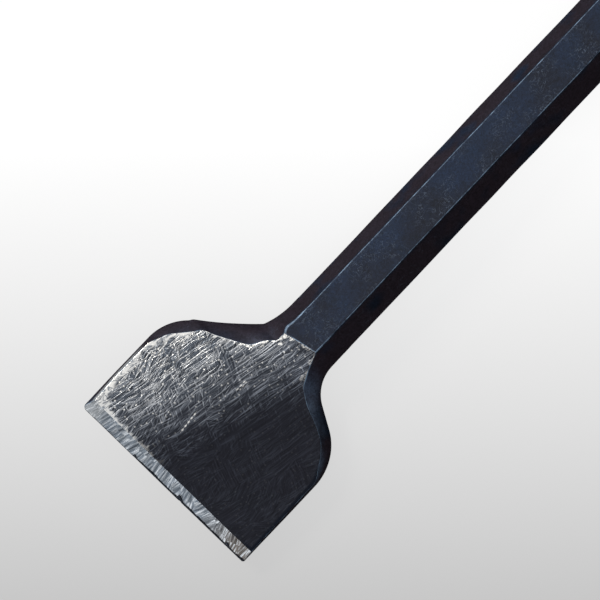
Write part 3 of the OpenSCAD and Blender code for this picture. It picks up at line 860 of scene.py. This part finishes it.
    # A strip of the scale's black along the right side of the ground face, about half a millimetre wide
    body = laid(add, body, finish.scale_black, add("MapRange", gap, 0.8, 0.5),
                add("MapRange", across, 20.0, 22.0, 0.0, 0.85))
    # Specks of bare steel, most of them in the fading middle
    nearest, cell = add("TexVoronoi", place, 0.8, out=("Distance", "Color"), voronoi_dimensions="2D")
    chance = add("MapRange", add("SeparateColor", cell), 0.54, 0.84)
    body = laid(add, body, finish.stroke, add("MapRange", nearest, 0.19, 0.1), chance,
                add("MapRange", part_fresh_and_sheen, 0.08, 1.0, 0.015, 1.4))
    height = add("Math MULTIPLY_ADD", add("Math MAXIMUM", dashes, hatch), 0.3, cut)
    relief = add("Math MULTIPLY_ADD", add("Math MULTIPLY", smeared, rim), -1.2,
                 add("MapRange", fresh_and_sheen, 0.0, 1.0, 0.1), use_clamp=True)
    surfaced(add, body, add("MapRange", cut, 0.35, 0.65, 0.43, 0.33), height, relief, 0.5, Metallic=0.9)
    return material


def honed_steel(finish, turn):
    """Chisel steel honed across the edge: a paler strip with fine lines square to the edge, bluer at its left end and
    warmer at its right, and dark broken metal in the chips and along the dulled edge."""
    material, add, place, _, across, _ = steel("honed_steel_bevel", turn)
    turned = in_patches(add, place, 0.3, -0.5, 0.4)
    # Honing lines about 0.1 mm apart, drawn 0.3 mm apart so that they show
    fine = add("TexNoise", add("Mapping", turned, Scale=(0.2, 2.2, 0.2)), 1.0, 3, 0.7)
    body = laid(add, finish.bevel_steel, finish.bevel_warm, add("MapRange", across, 9.0, 19.0))
    body = laid(add, body, finish.bevel_line,
                add("MapRange", fine, 0.44, 0.66, interpolation_type="SMOOTHSTEP"))
    body = laid(add, body, finish.ground_dark, add("MapRange", fine, 0.41, 0.35), 0.6)
    body = laid(add, body, finish.stroke, add("MapRange", across, -20.5, -23.0), 0.12)
    cloud = add("TexNoise", add("Mapping", turned, Scale=(0.15, 0.9, 0.2)), 1.0, 2)
    shade = add("MapRange", cloud, 0.38, 0.62, 0.78, 1.3)
    body = add("Mix", 1.0, body, shade, data_type="RGBA", blend_type="MULTIPLY")
    # Broken steel, with a ragged border
    ragged = add("Math MULTIPLY_ADD", add("TexNoise", place, 1.6), 0.3, -0.15)
    chip = add("Math ADD", add("Attribute", out="Fac", attribute_name="broken"), ragged)
    body = laid(add, body, finish.scale_black, add("MapRange", chip, -0.04, 0.04), 0.93)
    surfaced(add, body, add("MapRange", fine, 0.3, 0.7, 0.42, 0.28), fine, 0.3, 0.04, Metallic=0.9)
    return material


def floor_material(stage, roll):
    """Graduated backdrop paper: matt, and a little greyer towards the bottom of the view."""
    material, add = emptied(bpy.data.materials.new("graduated_paper"))
    up = view_axes(roll)[1]
    rise = add("VectorMath DOT_PRODUCT", add("TexCoord", out="Object"), up)
    tone = laid(add, stage.floor_grey, stage.floor_pale,
                add("MapRange", rise, *(view_middle(0).dot(up) + place for place in FLOOR_FADE)))
    paper = laid(add, tone, (0, 0, 0), FLOOR_SHADE)
    add("OutputMaterial", add("BsdfPrincipled", Base_Color=paper, Roughness=1.0, Specular_IOR_Level=0.0,
                              Emission_Color=tone, Emission_Strength=FLOOR_GLOW))
    return material


def blade_axes(roll):
    """Across the rolled blade to its right side, and out of its upper face."""
    return Vector((0, math.cos(roll), -math.sin(roll))), Vector((0, math.sin(roll), math.cos(roll)))


def view_axes(roll):
    """The view's right and up, and the way back to the camera, which is square to the rolled blade."""
    across, back = blade_axes(roll)
    along = Vector((-1, 0, 0))
    sin, cos = math.sin(VIEW_TURN), math.cos(VIEW_TURN)
    return cos * along + sin * across, sin * along - cos * across, back


def view_middle(roll):
    """The point in the middle of the view."""
    across, back = blade_axes(roll)
    x, y, z = VIEW_MIDDLE
    return Vector((x, 0, 0)) + y * across + z * back


class CHISEL_OT_forge_body(bpy.types.Operator):
    """Forge, turn and grind the chisel's body"""
    bl_idname = "chisel.forge_body"
    bl_label = "Forge body"

    def execute(self, context):
        scene = context.scene
        points, faces, finish, gap, inside = chisel_surface(in_mm(scene.chisel_sizes))
        materials = [make(scene.chisel_finish, scene.chisel_sizes.blade_roll)
                     for make in (forging_scale, ground_steel, honed_steel)]
        body = mesh_object("forged_chisel", points, faces, finish, materials, {"edge_gap": gap, "broken": inside})
        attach(body, "root")
        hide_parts("chisel_body")
        return {"FINISHED"}


class CHISEL_OT_lay_stage(bpy.types.Operator):
    """Lay the floor, light it and set up the camera"""
    bl_idname = "chisel.lay_stage"
    bl_label = "Lay stage"

    def execute(self, context):
        scene = context.scene
        stage = scene.chisel_stage
        roll = scene.chisel_sizes.blade_roll
        mesh = bpy.data.meshes.new("floor")
        mesh.from_pydata([(x * FLOOR_HALF, y * FLOOR_HALF, FLOOR_LEVEL)
                          for x, y in ((-1, -1), (1, -1), (1, 1), (-1, 1))], [], [(0, 1, 2, 3)])
        mesh.materials.append(floor_material(stage, roll))
        floor = bpy.data.objects.new("floor", mesh)
        floor.visible_glossy = floor.visible_diffuse = False
        scene.collection.objects.link(floor)
        light_dome(scene, stage)
        right, up, back = view_axes(roll)
        middle = view_middle(roll)
        for name, place, size, power, tint in LIGHTS:
            lamp = bpy.data.lights.new(name, "AREA")
            lamp.size, lamp.energy, lamp.color = size, power, linear(tint)
            holder = bpy.data.objects.new(name, lamp)
            holder.location = middle + place[0] * right + place[1] * up + place[2] * back
            holder.rotation_mode = "QUATERNION"
            holder.rotation_quaternion = (middle - holder.location).to_track_quat("-Z", "Y")
            holder.visible_camera = False
            scene.collection.objects.link(holder)
        lens = bpy.data.cameras.new("camera")
        lens.lens = lens.sensor_width * stage.camera_distance / stage.view_width
        lens.clip_start, lens.clip_end = CAMERA_CLIP
        camera = bpy.data.objects.new("camera", lens)
        turn = Matrix((right, up, back)).transposed().to_4x4()
        camera.matrix_world = Matrix.Translation(middle + back * stage.camera_distance) @ turn
        scene.collection.objects.link(camera)
        scene.camera = camera
        scene.view_settings.view_transform = "Standard"
        return {"FINISHED"}


def light_dome(scene, stage):
    """A big soft light overhead, a little to the left, which falls off to near black at the horizon. Past the floor
    the camera sees a pale backdrop instead."""
    scene.world, add = emptied(bpy.data.worlds.new("soft_dome"))
    facing = add("VectorMath DOT_PRODUCT", add("TexCoord", out="Generated"), Vector(DOME_AIM).normalized())
    light = add("MapRange", facing, -0.1, 0.95, 0.05, stage.dome_light, interpolation_type="SMOOTHSTEP")
    add("OutputWorld", add("MixShader", add("LightPath", out="Is Camera Ray"),
                           add("Background", linear(DOME_TINT), light),
                           add("Background", stage.floor_pale, FLOOR_GLOW)))


class VIEW3D_PT_chisel(bpy.types.Panel):
    """Lists the chisel's steps with their sizes and colours"""
    bl_label = "Tile removal chisel"
    bl_idname = "VIEW3D_PT_chisel"
    bl_space_type = "VIEW_3D"
    bl_region_type = "UI"
    bl_category = "Chisel"

    def draw(self, context):
        scene = context.scene
        for operator, settings in (("chisel.forge_body", scene.chisel_sizes), (None, scene.chisel_finish),
                                   ("chisel.lay_stage", scene.chisel_stage)):
            for name in type(settings).__annotations__:
                self.layout.prop(settings, name)
            if operator:
                self.layout.operator(operator)


CLASSES = (ChiselSizes, ChiselFinish, ChiselStage, CHISEL_OT_forge_body, CHISEL_OT_lay_stage, VIEW3D_PT_chisel)
GROUPS = {"chisel_sizes": ChiselSizes, "chisel_finish": ChiselFinish, "chisel_stage": ChiselStage}


def register():
    """Adds the add-on's classes, and its settings to the scenes."""
    for cls in CLASSES:
        bpy.utils.register_class(cls)
    for name, group in GROUPS.items():
        setattr(bpy.types.Scene, name, PointerProperty(type=group))


def unregister():
    """Takes the settings and the classes away again."""
    for name in GROUPS:
        delattr(bpy.types.Scene, name)
    for cls in reversed(CLASSES):
        bpy.utils.unregister_class(cls)


def main():
    """Builds the chisel and its stage."""
    register()
    bpy.ops.chisel.forge_body()
    bpy.ops.chisel.lay_stage()


if __name__ == "__main__":
    main()
